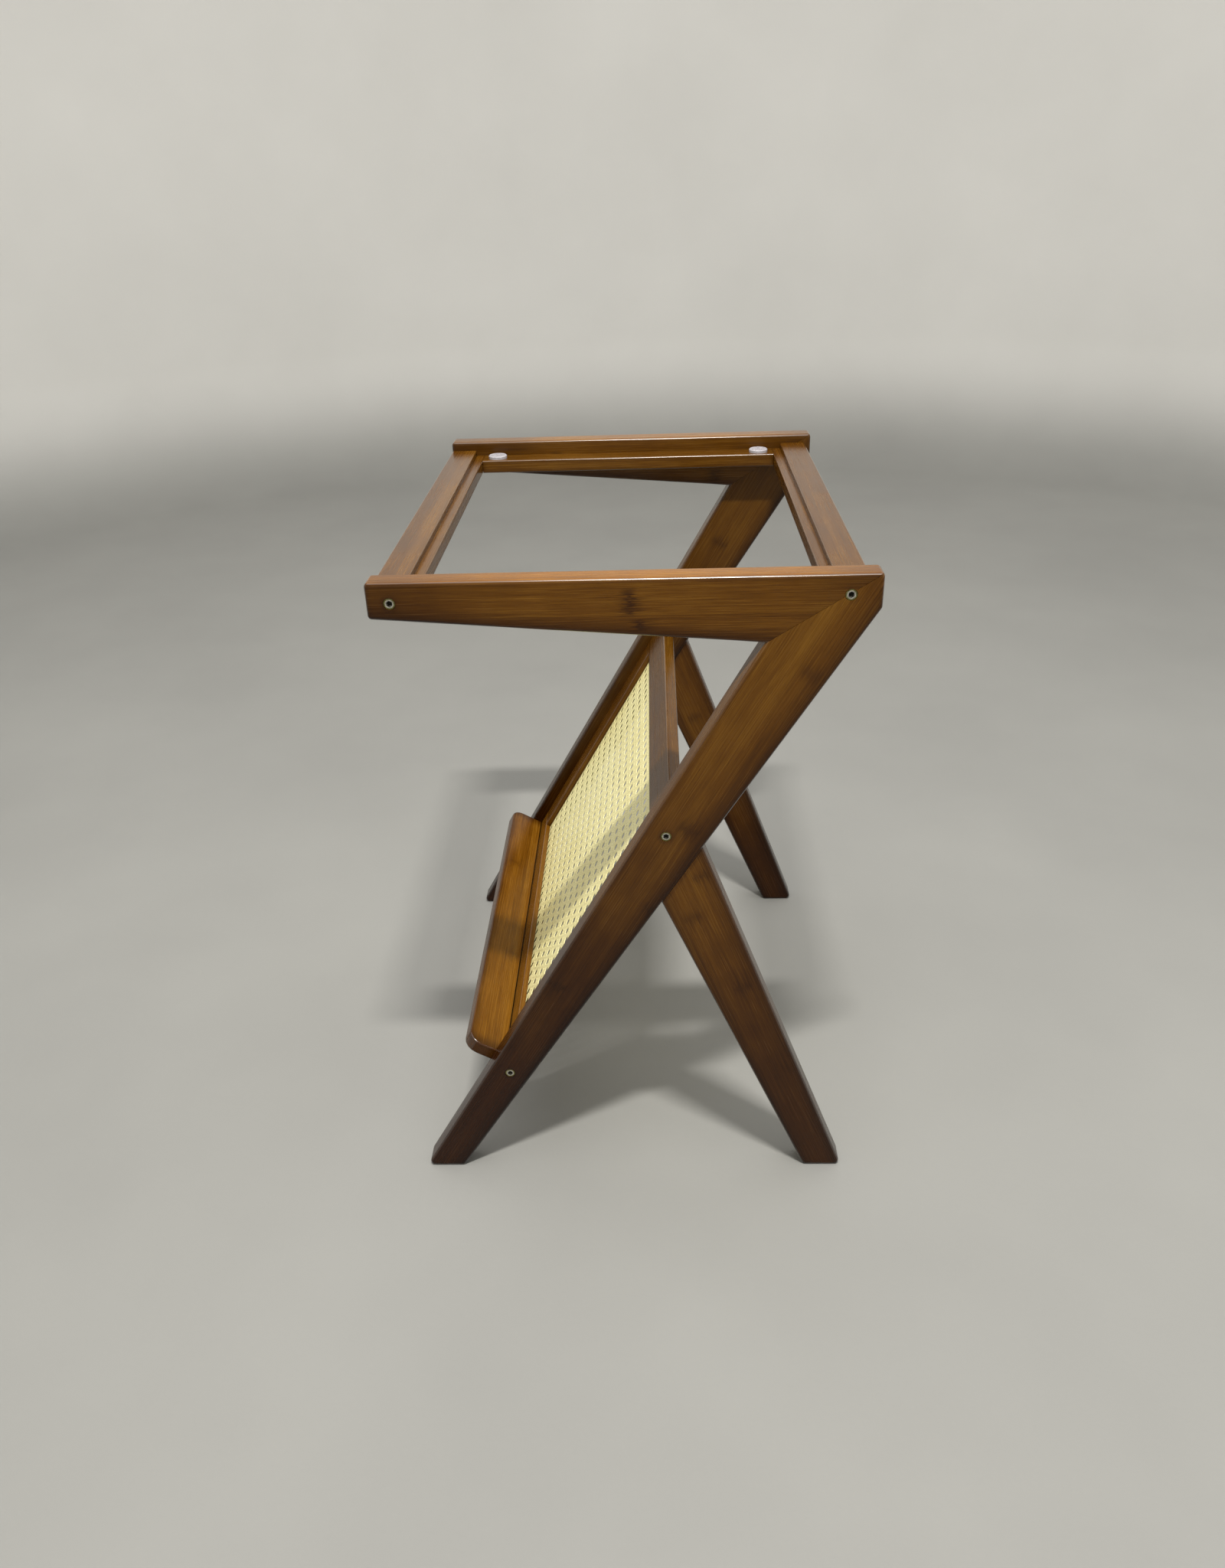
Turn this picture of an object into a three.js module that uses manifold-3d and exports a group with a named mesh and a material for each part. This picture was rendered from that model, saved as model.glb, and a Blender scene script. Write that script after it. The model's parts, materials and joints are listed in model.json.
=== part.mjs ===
// Z-frame side table with a magazine rack under a glass-top frame.
// Millimetres. +X runs from the front (rack side) to the back, +Y to the table's left side, +Z up.
import * as THREE from 'three';
import { mergeVertices } from 'three/addons/utils/BufferGeometryUtils.js';
import Module from 'manifold-3d';

// ---- side frames: arm, diagonal leg and rear leg cut from one flush outline ----
const HEIGHT = 550;
const ARM_LENGTH = 355;
const INNER_WIDTH = 400;
const SIDE_THICKNESS = 20;
const ARM_FRONT_DEPTH = 26.5;
const ARM_REAR_DEPTH = 25;
const ARM_ROOT_DEPTH = 49;
const ARM_ROOT_INSET = 79;
const LEG_ANGLE = 60;
const FRONT_FOOT_WIDTH = 34;
const REAR_FOOT_WIDTH = 33.5;
const REAR_FOOT_OVERHANG = 3;
const REAR_LEG_CROTCH_HEIGHT = 284;
const REAR_LEG_TOP_HEIGHT = 334;
const EDGE_ROUND = 2.5;
const FOOT_ROUND = EDGE_ROUND + 1.5;
const ARM_END_ROUND = EDGE_ROUND + 0.5;

// ---- glass seat: cross rails, ledge strips and bumpers ----
const RAIL_WIDTH = 32;
const RAIL_DROP = 8;
const REBATE_WIDTH = 8;
const REBATE_DEPTH = 5;
const LEDGE_THICKNESS = 12;
const LEDGE_WIDTH = 23;
const FRONT_RAIL_INSET = 0.5;
const REAR_RAIL_INSET = 6;
const BUMPER_RADIUS = 9;
const BUMPER_THICKNESS = 3;
const BUMPER_CHAMFER = 0.8;
const BUMPER_END_INSET = 14;

// ---- magazine rack between the diagonal legs ----
const RACK_START = 120;
const RACK_LENGTH = 304;
const RACK_THICKNESS = 12;
const RACK_SETBACK = 11;
const RACK_RAIL_WIDTH = 32;
const RACK_STILE_WIDTH = 30;
const SHEET_SETBACK = 5;
const SHEET_THICKNESS = 1.6;
const SHEET_LAP = 7;
const BEAD_SETBACK = 0.5;
const SHELF_THICKNESS = 12;
const SHELF_REACH = 36;
const SHELF_CORNER_ROUND = 12;
const SOFT_EDGE = 1.5;
const OPENING_EDGE_ROUND = 1;

// ---- fasteners ----
const RAIL_SCREW_DROP = 15;
const SCREW_HEAD_RADIUS = 4;
const SCREW_HEAD_HEIGHT = 2.5;
const SCREW_NECK_HEIGHT = 2;
const SCREW_SHANK_RADIUS = 2.5;
const SCREW_LENGTH = 50;
const SCREW_SINK = 0.4;
const SOCKET_RADIUS = 2.3;
const SOCKET_DEPTH = 2.2;
const SHELF_SCREW_HEAD_RADIUS = 3.5;
const SHELF_SCREW_HEAD_HEIGHT = 1;
const SHELF_SCREW_NECK_HEIGHT = 2;
const SHELF_SCREW_SHANK_RADIUS = 1.75;
const SHELF_SCREW_LENGTH = 35;
const SHELF_SCREW_SPACING = 130;
const SHELF_SOCKET_RADIUS = 1.5;
const SHELF_SOCKET_DEPTH = 1.5;
const DOWEL_RADIUS = 2.5;
const RAIL_DOWEL_LENGTH = 30;
const RAIL_DOWEL_IN_SIDE = 10;
const RAIL_DOWEL_INSET = 7;
const JOINT_DOWEL_LENGTH = 24;
const MITRE_DOWELS_AT = [18, 42];
const BUTT_DOWELS_AT = [20, 40];

// ---- fits ----
const GLUE_LINE = 0.2;
const BORE_CLEARANCE = 0.3;
const SHELF_END_GAP = 0.5;
const CUT_OVERRUN = 1;
const ROUND_SEGMENTS = 20;
const BEVEL_SEGMENTS = 3;
const CORNER_SEGMENTS = 4;

const wasm = await Module();
wasm.setup();

// ---- geometry helpers ----
const X_AXIS = new THREE.Vector3(1, 0, 0);
const Y_AXIS = new THREE.Vector3(0, 1, 0);
const Z_AXIS = new THREE.Vector3(0, 0, 1);

function toSolid(geometry) {
  const bare = geometry.clone();
  bare.deleteAttribute('normal');
  bare.deleteAttribute('uv');
  const merged = mergeVertices(bare, 1e-4);
  const corners = merged.index.array;
  const triangles = [];
  for (let i = 0; i < corners.length; i += 3) {
    const [a, b, c] = corners.subarray(i, i + 3);
    if (a !== b && b !== c && c !== a) triangles.push(a, b, c);
  }
  return new wasm.Manifold(new wasm.Mesh({
    numProp: 3,
    vertProperties: new Float32Array(merged.attributes.position.array),
    triVerts: new Uint32Array(triangles),
  }));
}

function toGeometry(solid) {
  const mesh = solid.getMesh();
  const geometry = new THREE.BufferGeometry();
  geometry.setAttribute('position', new THREE.BufferAttribute(mesh.vertProperties, 3));
  geometry.setIndex(new THREE.BufferAttribute(mesh.triVerts, 1));
  return geometry;
}

// Closed outline whose listed corners are cut back to an arc of their own radius.
function roundedOutline(corners) {
  const points = [];
  corners.forEach(({ x, y, round = 0 }, i) => {
    const here = new THREE.Vector2(x, y);
    if (round === 0) {
      points.push(here);
      return;
    }
    const previous = corners[(i + corners.length - 1) % corners.length];
    const next = corners[(i + 1) % corners.length];
    const inward = new THREE.Vector2(previous.x - x, previous.y - y).normalize();
    const outward = new THREE.Vector2(next.x - x, next.y - y).normalize();
    const half = Math.acos(THREE.MathUtils.clamp(inward.dot(outward), -1, 1)) / 2;
    const bisector = inward.clone().add(outward).normalize();
    const centre = here.clone().addScaledVector(bisector, round / Math.sin(half));
    const start = here.clone().addScaledVector(inward, round / Math.tan(half)).sub(centre);
    const sweep = -Math.sign(inward.cross(outward)) * (Math.PI - 2 * half);
    for (let k = 0; k <= CORNER_SEGMENTS; k += 1) {
      const spoke = start.clone().rotateAround(new THREE.Vector2(), (sweep * k) / CORNER_SEGMENTS);
      points.push(spoke.add(centre));
    }
  });
  return new THREE.Shape(points);
}

// Prism of an outline, standing from 0 to height along its own +Z.
function prism(corners, height, bevel = 0) {
  const geometry = new THREE.ExtrudeGeometry(roundedOutline(corners), {
    depth: height - 2 * bevel,
    bevelEnabled: bevel > 0,
    bevelThickness: bevel,
    bevelSize: bevel,
    bevelOffset: -bevel,
    bevelSegments: BEVEL_SEGMENTS,
  });
  return geometry.translate(0, 0, bevel);
}

// Moves a geometry from its own axes to the given origin and axes.
function placed(geometry, origin, xAxis, yAxis) {
  const zAxis = xAxis.clone().cross(yAxis);
  const matrix = new THREE.Matrix4().makeBasis(xAxis, yAxis, zAxis).setPosition(origin);
  return geometry.applyMatrix4(matrix);
}

function rectangle(x0, y0, x1, y1, rounds = [0, 0, 0, 0]) {
  return [
    { x: x0, y: y0, round: rounds[0] },
    { x: x1, y: y0, round: rounds[1] },
    { x: x1, y: y1, round: rounds[2] },
    { x: x0, y: y1, round: rounds[3] },
  ];
}

// Solid of revolution about the line from a point along a direction. The profile lists
// [distance along that line, radius] in rising order and is closed on the axis.
function turned(origin, direction, profile) {
  const outer = profile.map(([along, radius]) => new THREE.Vector2(radius, along));
  const first = new THREE.Vector2(0, outer[0].y);
  const last = new THREE.Vector2(0, outer[outer.length - 1].y);
  const geometry = new THREE.LatheGeometry([first, ...outer, last], ROUND_SEGMENTS);
  const turn = new THREE.Quaternion().setFromUnitVectors(Y_AXIS, direction);
  return toSolid(geometry.applyQuaternion(turn).translate(origin.x, origin.y, origin.z));
}

// Prism with a regular polygon section, sunk into a face along a direction.
function socket(face, direction, radius, sides, depthIn) {
  const cutter = new THREE.CylinderGeometry(radius, radius, 2 * depthIn, sides);
  const turn = new THREE.Quaternion().setFromUnitVectors(Y_AXIS, direction);
  return toSolid(cutter.applyQuaternion(turn).translate(face.x, face.y, face.z));
}

// ---- side frame outline, in the X-Z plane from the arm's front end ----
const legSlope = Math.tan(THREE.MathUtils.degToRad(LEG_ANGLE));
const innerCorner = new THREE.Vector2(ARM_LENGTH - ARM_ROOT_INSET, HEIGHT - ARM_ROOT_DEPTH);
const frontToe = new THREE.Vector2(innerCorner.x - innerCorner.y / legSlope, 0);
const frontHeel = new THREE.Vector2(frontToe.x + FRONT_FOOT_WIDTH, 0);
const armRearTop = new THREE.Vector2(ARM_LENGTH, HEIGHT);
const armRearBottom = new THREE.Vector2(ARM_LENGTH, HEIGHT - ARM_REAR_DEPTH);
const rearHeel = new THREE.Vector2(ARM_LENGTH + REAR_FOOT_OVERHANG, 0);
const rearToe = new THREE.Vector2(rearHeel.x - REAR_FOOT_WIDTH, 0);
const onDiagonalBack = (height) => {
  const share = height / armRearBottom.y;
  return new THREE.Vector2().lerpVectors(frontHeel, armRearBottom, share);
};
const crotch = onDiagonalBack(REAR_LEG_CROTCH_HEIGHT);
const rearLegTop = onDiagonalBack(REAR_LEG_TOP_HEIGHT);

const depth = INNER_WIDTH + 2 * SIDE_THICKNESS;
const rightInner = SIDE_THICKNESS;
const leftInner = SIDE_THICKNESS + INNER_WIDTH;

const sideOutline = [
  { x: frontToe.x, y: 0, round: FOOT_ROUND },
  { x: frontHeel.x, y: 0, round: FOOT_ROUND },
  { x: crotch.x, y: crotch.y },
  { x: rearToe.x, y: 0, round: FOOT_ROUND },
  { x: rearHeel.x, y: 0, round: FOOT_ROUND },
  { x: rearLegTop.x, y: rearLegTop.y },
  { x: armRearBottom.x, y: armRearBottom.y, round: ARM_END_ROUND },
  { x: armRearTop.x, y: armRearTop.y, round: ARM_END_ROUND },
  { x: 0, y: HEIGHT, round: ARM_END_ROUND },
  { x: 0, y: HEIGHT - ARM_FRONT_DEPTH, round: ARM_END_ROUND },
  { x: innerCorner.x, y: innerCorner.y },
];

// An X-Z outline standing along +Y from y0 to y1.
function acrossSides(corners, y0, y1, bevel = 0) {
  const geometry = prism(corners, y1 - y0, bevel);
  return toSolid(placed(geometry, new THREE.Vector3(0, y1, 0), X_AXIS, Z_AXIS));
}

// Everything to the right of the line from one point to another, looking along it.
function rightOf(start, end, offset, y0, y1) {
  const reach = HEIGHT + ARM_LENGTH;
  const along = end.clone().sub(start).normalize();
  const right = new THREE.Vector2(along.y, -along.x);
  const base = start.clone().addScaledVector(right, offset);
  const near = base.clone().addScaledVector(along, -reach);
  const far = base.clone().addScaledVector(along, reach);
  const nearOut = near.clone().addScaledVector(right, 2 * reach);
  const farOut = far.clone().addScaledVector(right, 2 * reach);
  const corners = [near, nearOut, farOut, far].map(({ x, y }) => ({ x, y }));
  return acrossSides(corners, y0, y1);
}

// ---- places shared by the rails, rack and fasteners ----
const railTop = HEIGHT - RAIL_DROP;
const seatHeight = railTop - REBATE_DEPTH;
const railBottom = seatHeight - LEDGE_THICKNESS;
const railScrewHeight = HEIGHT - RAIL_SCREW_DROP;
const rails = {
  front: { outer: FRONT_RAIL_INSET, inward: 1 },
  rear: { outer: ARM_LENGTH - REAR_RAIL_INSET, inward: -1 },
};
for (const rail of Object.values(rails)) {
  rail.inner = rail.outer + rail.inward * RAIL_WIDTH;
  rail.step = rail.inner - rail.inward * REBATE_WIDTH;
  rail.screwX = (rail.outer + rail.inner) / 2;
  rail.dowelX = rail.outer + rail.inward * RAIL_DOWEL_INSET;
}

const sideSpans = {
  right: { y0: 0, y1: SIDE_THICKNESS, outerFace: 0, inward: 1 },
  left: { y0: leftInner, y1: depth, outerFace: depth, inward: -1 },
};

// Rack axes: away from the leg's front edge, and up along the leg from the floor.
const legAngle = THREE.MathUtils.degToRad(LEG_ANGLE);
const rackBack = new THREE.Vector3(Math.sin(legAngle), 0, -Math.cos(legAngle));
const rackUp = new THREE.Vector3(Math.cos(legAngle), 0, Math.sin(legAngle));
const rackOrigin = new THREE.Vector3(frontToe.x, 0, 0);
const rackFront = RACK_SETBACK;
const rackRear = RACK_SETBACK + RACK_THICKNESS;
const rackMiddle = (rackFront + rackRear) / 2;
const rackEnd = RACK_START + RACK_LENGTH;
const openingLow = RACK_START + RACK_RAIL_WIDTH;
const openingHigh = rackEnd - RACK_RAIL_WIDTH;
const openingRight = rightInner + RACK_STILE_WIDTH;
const openingLeft = leftInner - RACK_STILE_WIDTH;
const sheetFront = rackFront + SHEET_SETBACK;
const sheetRear = sheetFront + SHEET_THICKNESS;
const beadRear = rackRear - BEAD_SETBACK;
const shelfTop = RACK_START + RACK_RAIL_WIDTH / 2;
const shelfBottom = shelfTop - SHELF_THICKNESS;
const shelfMiddle = shelfTop - SHELF_THICKNESS / 2;
const rackScrewsAt = {
  rack_bottom: RACK_START + RACK_RAIL_WIDTH / 2,
  rack_top: rackEnd - RACK_RAIL_WIDTH / 2,
};

const rackPoint = (back, y, up) => rackOrigin.clone()
  .addScaledVector(rackBack, back)
  .addScaledVector(Y_AXIS, y)
  .addScaledVector(rackUp, up);

// Outline in the rack's back-up plane, running along Y.
function rackRunAcross(corners, y0, y1) {
  return toSolid(placed(prism(corners, y1 - y0), rackPoint(0, y1, 0), rackBack, rackUp));
}

// Outline in the rack's back-Y plane, running up along the leg.
function rackRunUp(corners, up0, up1, bevel = 0) {
  return toSolid(placed(prism(corners, up1 - up0, bevel), rackPoint(0, 0, up0), rackBack, Y_AXIS));
}

// ---- fasteners and their holes ----
const connector = {
  headRadius: SCREW_HEAD_RADIUS,
  headHeight: SCREW_HEAD_HEIGHT,
  neckHeight: SCREW_NECK_HEIGHT,
  shankRadius: SCREW_SHANK_RADIUS,
  length: SCREW_LENGTH,
  socketRadius: SOCKET_RADIUS,
  socketSides: 6,
  socketDepth: SOCKET_DEPTH,
};
const woodScrew = {
  headRadius: SHELF_SCREW_HEAD_RADIUS,
  headHeight: SHELF_SCREW_HEAD_HEIGHT,
  neckHeight: SHELF_SCREW_NECK_HEIGHT,
  shankRadius: SHELF_SCREW_SHANK_RADIUS,
  length: SHELF_SCREW_LENGTH,
  socketRadius: SHELF_SOCKET_RADIUS,
  socketSides: 4,
  socketDepth: SHELF_SOCKET_DEPTH,
};

// A countersunk screw whose head sits just below the face it is driven into.
function screw(kind, at, outward) {
  const face = at.clone().addScaledVector(outward, -SCREW_SINK);
  const body = turned(face, outward, [
    [-kind.length, kind.shankRadius],
    [-kind.headHeight - kind.neckHeight, kind.shankRadius],
    [-kind.headHeight, kind.headRadius],
    [0, kind.headRadius],
  ]);
  return body.subtract(socket(face, outward, kind.socketRadius, kind.socketSides, kind.socketDepth));
}

function screwHole(kind, at, outward) {
  const head = kind.headRadius + BORE_CLEARANCE;
  const shank = kind.shankRadius + BORE_CLEARANCE;
  const headEnd = -SCREW_SINK - kind.headHeight - BORE_CLEARANCE;
  return turned(at, outward, [
    [-SCREW_SINK - kind.length - BORE_CLEARANCE, shank],
    [headEnd - kind.neckHeight, shank],
    [headEnd, head],
    [CUT_OVERRUN, head],
  ]);
}

const dowel = (at, direction, length) => turned(at, direction, [
  [0, DOWEL_RADIUS],
  [length, DOWEL_RADIUS],
]);
const dowelHole = (at, direction, length) => turned(at, direction, [
  [-BORE_CLEARANCE, DOWEL_RADIUS + BORE_CLEARANCE],
  [length + BORE_CLEARANCE, DOWEL_RADIUS + BORE_CLEARANCE],
]);

// ---- assembly ----
const finishes = {
  stained_bamboo: { color: 0x6b3d1c, roughness: 0.42, metalness: 0 },
  lattice: { color: 0xe6dcae, roughness: 0.5, metalness: 0 },
  zinc: { color: 0xb3b09a, roughness: 0.35, metalness: 1 },
  bare_wood: { color: 0xc79f68, roughness: 0.7, metalness: 0 },
  clear_bumper: { color: 0xdedbe2, roughness: 0.25, metalness: 0 },
};
const pieces = new Map();

function add(name, finish, solid) {
  pieces.set(name, { finish, solid });
}

function drill(names, hole) {
  for (const name of names) {
    const piece = pieces.get(name);
    piece.solid = piece.solid.subtract(hole);
  }
}

function buildSides() {
  const half = GLUE_LINE / 2;
  for (const [side, { y0, y1 }] of Object.entries(sideSpans)) {
    const blank = acrossSides(sideOutline, y0, y1, EDGE_ROUND);
    const cut0 = y0 - CUT_OVERRUN;
    const cut1 = y1 + CUT_OVERRUN;
    const belowMitre = rightOf(innerCorner, armRearTop, half, cut0, cut1);
    const aboveMitre = rightOf(armRearTop, innerCorner, half, cut0, cut1);
    const behindDiagonal = rightOf(frontHeel, armRearBottom, half, cut0, cut1);
    const diagonalAndFront = rightOf(armRearBottom, frontHeel, half, cut0, cut1);
    add(`arm_${side}`, 'stained_bamboo', blank.intersect(aboveMitre));
    const diagonal = blank.intersect(belowMitre).intersect(diagonalAndFront);
    add(`diagonal_leg_${side}`, 'stained_bamboo', diagonal);
    add(`rear_leg_${side}`, 'stained_bamboo', blank.intersect(behindDiagonal));
  }
}

function buildSideDowels() {
  const mitre = armRearTop.clone().sub(innerCorner).normalize();
  const back = armRearBottom.clone().sub(frontHeel).normalize();
  const joints = [
    {
      name: 'mitre',
      start: innerCorner,
      along: mitre,
      at: MITRE_DOWELS_AT,
      members: ['arm', 'diagonal_leg'],
    },
    {
      name: 'butt',
      start: crotch,
      along: back,
      at: BUTT_DOWELS_AT,
      members: ['diagonal_leg', 'rear_leg'],
    },
  ];
  for (const [side, { y0, y1 }] of Object.entries(sideSpans)) {
    for (const { name, start, along, at, members } of joints) {
      const across = new THREE.Vector3(along.y, 0, -along.x);
      at.forEach((distance, i) => {
        const centre = start.clone().addScaledVector(along, distance);
        const end = new THREE.Vector3(centre.x, (y0 + y1) / 2, centre.y)
          .addScaledVector(across, -JOINT_DOWEL_LENGTH / 2);
        const peg = dowel(end, across, JOINT_DOWEL_LENGTH);
        add(`dowel_${name}_${side}_${i + 1}`, 'bare_wood', peg);
        const joined = members.map((member) => `${member}_${side}`);
        drill(joined, dowelHole(end, across, JOINT_DOWEL_LENGTH));
      });
    }
  }
}

function buildGlassSeat() {
  const y0 = rightInner + GLUE_LINE;
  const y1 = leftInner - GLUE_LINE;
  for (const [end, { outer, inner, step, inward }] of Object.entries(rails)) {
    const section = [
      { x: outer, y: railBottom, round: SOFT_EDGE },
      { x: inner, y: railBottom, round: SOFT_EDGE },
      { x: inner, y: seatHeight, round: SOFT_EDGE },
      { x: step, y: seatHeight },
      { x: step, y: railTop, round: SOFT_EDGE },
      { x: outer, y: railTop, round: SOFT_EDGE },
    ];
    const wound = inward > 0 ? section : section.reverse();
    add(`cross_rail_${end}`, 'stained_bamboo', acrossSides(wound, y0, y1));
  }
  const x0 = rails.front.inner + GLUE_LINE;
  const x1 = rails.rear.inner - GLUE_LINE;
  for (const [side, { inward }] of Object.entries(sideSpans)) {
    const wall = inward > 0 ? y0 : y1;
    const edge = wall + inward * LEDGE_WIDTH;
    const rounds = inward > 0 ? [0, SOFT_EDGE, SOFT_EDGE, 0] : [SOFT_EDGE, 0, 0, SOFT_EDGE];
    const low = Math.min(wall, edge);
    const high = Math.max(wall, edge);
    const section = rectangle(low, railBottom, high, seatHeight, rounds);
    const strip = placed(prism(section, x1 - x0), new THREE.Vector3(x0, 0, 0), Y_AXIS, Z_AXIS);
    add(`ledge_strip_${side}`, 'stained_bamboo', toSolid(strip));
    const ends = { front: x0 + BUMPER_END_INSET, rear: x1 - BUMPER_END_INSET };
    for (const [end, x] of Object.entries(ends)) {
      const middle = new THREE.Vector3(x, (wall + edge) / 2, seatHeight);
      const bumper = turned(middle, Z_AXIS, [
        [0, BUMPER_RADIUS],
        [BUMPER_THICKNESS - BUMPER_CHAMFER, BUMPER_RADIUS],
        [BUMPER_THICKNESS, BUMPER_RADIUS - BUMPER_CHAMFER],
      ]);
      add(`glass_bumper_${end}_${side}`, 'clear_bumper', bumper);
    }
  }
}

function buildRack() {
  const y0 = rightInner + GLUE_LINE;
  const y1 = leftInner - GLUE_LINE;
  const soft = SOFT_EDGE;
  const eased = OPENING_EDGE_ROUND;
  const pocket = rackRunAcross(
    rectangle(sheetFront, openingLow - SHEET_LAP, rackRear + CUT_OVERRUN, openingHigh + SHEET_LAP),
    openingRight - SHEET_LAP,
    openingLeft + SHEET_LAP,
  );
  const railSections = {
    rack_bottom_rail: rectangle(rackFront, RACK_START, rackRear, openingLow, [soft, soft, 0, eased]),
    rack_top_rail: rectangle(rackFront, openingHigh, rackRear, rackEnd, [eased, 0, soft, soft]),
  };
  for (const [name, section] of Object.entries(railSections)) {
    add(name, 'stained_bamboo', rackRunAcross(section, y0, y1).subtract(pocket));
  }
  const stileSections = {
    rack_stile_right: rectangle(rackFront, y0, rackRear, openingRight, [0, 0, 0, eased]),
    rack_stile_left: rectangle(rackFront, openingLeft, rackRear, y1, [eased, 0, 0, 0]),
  };
  for (const [name, section] of Object.entries(stileSections)) {
    const stile = rackRunUp(section, openingLow + GLUE_LINE, openingHigh - GLUE_LINE);
    add(name, 'stained_bamboo', stile.subtract(pocket));
  }

  const play = GLUE_LINE;
  const sheetEdge = SHEET_LAP - play;
  const sheetLow = openingLow - sheetEdge;
  const sheetHigh = openingHigh + sheetEdge;
  const sheetRight = openingRight - sheetEdge;
  const sheetLeft = openingLeft + sheetEdge;
  add('rack_lattice_sheet', 'lattice', rackRunAcross(
    rectangle(sheetFront + play, sheetLow, sheetRear, sheetHigh),
    sheetRight,
    sheetLeft,
  ));
  const beadFront = sheetRear + play;
  const upright = { low: openingLow + play, high: openingHigh - play };
  const beadSpans = {
    bottom: { low: sheetLow, high: openingLow, right: sheetRight, left: sheetLeft },
    top: { low: openingHigh, high: sheetHigh, right: sheetRight, left: sheetLeft },
    right: { ...upright, right: sheetRight, left: openingRight },
    left: { ...upright, right: openingLeft, left: sheetLeft },
  };
  for (const [edge, { low, high, right, left }] of Object.entries(beadSpans)) {
    const section = rectangle(beadFront, low, beadRear, high);
    add(`sheet_bead_${edge}`, 'stained_bamboo', rackRunAcross(section, right, left));
  }
}

function buildShelf() {
  const y0 = rightInner + SHELF_END_GAP;
  const y1 = leftInner - SHELF_END_GAP;
  const lip = rackFront - SHELF_REACH;
  const rounds = [SHELF_CORNER_ROUND, 0, 0, SHELF_CORNER_ROUND];
  const outline = rectangle(lip, y0, rackFront + 2 * SOFT_EDGE, y1, rounds);
  const board = rackRunUp(outline, shelfBottom, shelfTop, SOFT_EDGE);
  const trim = rackRunAcross(
    rectangle(rackFront - GLUE_LINE, shelfBottom - CUT_OVERRUN, rackRear, shelfTop + CUT_OVERRUN),
    rightInner,
    leftInner,
  );
  add('rack_shelf', 'stained_bamboo', board.subtract(trim));
  for (const step of [-1, 0, 1]) {
    const at = rackPoint(rackRear, depth / 2 + step * SHELF_SCREW_SPACING, shelfMiddle);
    drill(['rack_bottom_rail', 'rack_shelf'], screwHole(woodScrew, at, rackBack));
    add(`shelf_screw_${step + 2}`, 'zinc', screw(woodScrew, at, rackBack));
  }
}

function buildSideFasteners() {
  for (const [side, { outerFace, inward }] of Object.entries(sideSpans)) {
    const outward = Y_AXIS.clone().multiplyScalar(-inward);
    const insideFace = outerFace + inward * SIDE_THICKNESS;
    for (const [end, rail] of Object.entries(rails)) {
      const members = [`arm_${side}`, `diagonal_leg_${side}`, `cross_rail_${end}`];
      const screwAt = new THREE.Vector3(rail.screwX, outerFace, railScrewHeight);
      add(`screw_${end}_rail_${side}`, 'zinc', screw(connector, screwAt, outward));
      drill(members, screwHole(connector, screwAt, outward));
      const dowelY = insideFace - inward * RAIL_DOWEL_IN_SIDE;
      const dowelAt = new THREE.Vector3(rail.dowelX, dowelY, railScrewHeight);
      const into = outward.clone().negate();
      add(`dowel_${end}_rail_${side}`, 'bare_wood', dowel(dowelAt, into, RAIL_DOWEL_LENGTH));
      drill(members, dowelHole(dowelAt, into, RAIL_DOWEL_LENGTH));
    }
    for (const [place, up] of Object.entries(rackScrewsAt)) {
      const at = rackPoint(rackMiddle, outerFace, up);
      add(`screw_${place}_${side}`, 'zinc', screw(connector, at, outward));
      drill([`diagonal_leg_${side}`, `${place}_rail`], screwHole(connector, at, outward));
    }
  }
}

buildSides();
buildSideDowels();
buildGlassSeat();
buildRack();
buildShelf();
buildSideFasteners();

const table = new THREE.Group();
table.name = 'z_side_table';
for (const [name, { finish, solid }] of pieces) {
  const mesh = new THREE.Mesh(toGeometry(solid), new THREE.MeshStandardMaterial(finishes[finish]));
  mesh.name = name;
  mesh.material.name = finish;
  table.add(mesh);
}

// The origin is on the floor under the middle of the whole table.
const bounds = new THREE.Box3().setFromObject(table);
const middle = bounds.getCenter(new THREE.Vector3());
for (const mesh of table.children) {
  mesh.geometry.translate(-middle.x, -middle.y, 0);
  mesh.geometry.computeVertexNormals();
}

export default table;
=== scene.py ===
"""Looks for the Z-frame side table: stained bamboo, a plastic cane panel, zinc screws and
clear bumpers, on a plain pale floor. Metres, in the table's own frame."""
import json
import math
from typing import NamedTuple

import bmesh
import bpy
from mathutils import Matrix, Vector


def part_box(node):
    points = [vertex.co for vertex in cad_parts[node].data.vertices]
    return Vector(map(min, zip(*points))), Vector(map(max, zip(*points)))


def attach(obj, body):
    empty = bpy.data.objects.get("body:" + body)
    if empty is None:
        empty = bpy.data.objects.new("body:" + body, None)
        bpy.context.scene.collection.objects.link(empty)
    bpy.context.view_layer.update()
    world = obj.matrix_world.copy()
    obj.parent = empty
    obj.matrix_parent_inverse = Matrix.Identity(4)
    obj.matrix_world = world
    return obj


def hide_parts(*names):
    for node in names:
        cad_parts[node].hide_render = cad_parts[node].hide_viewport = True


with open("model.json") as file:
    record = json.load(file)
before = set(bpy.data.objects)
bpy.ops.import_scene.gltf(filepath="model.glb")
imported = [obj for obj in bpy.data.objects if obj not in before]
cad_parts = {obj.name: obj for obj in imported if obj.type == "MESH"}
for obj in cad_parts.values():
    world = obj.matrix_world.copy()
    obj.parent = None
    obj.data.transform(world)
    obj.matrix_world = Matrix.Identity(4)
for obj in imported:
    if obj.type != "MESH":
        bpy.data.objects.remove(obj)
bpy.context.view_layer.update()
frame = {"nodes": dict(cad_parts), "record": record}
nodes = frame["nodes"]
MM = 0.001

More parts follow.
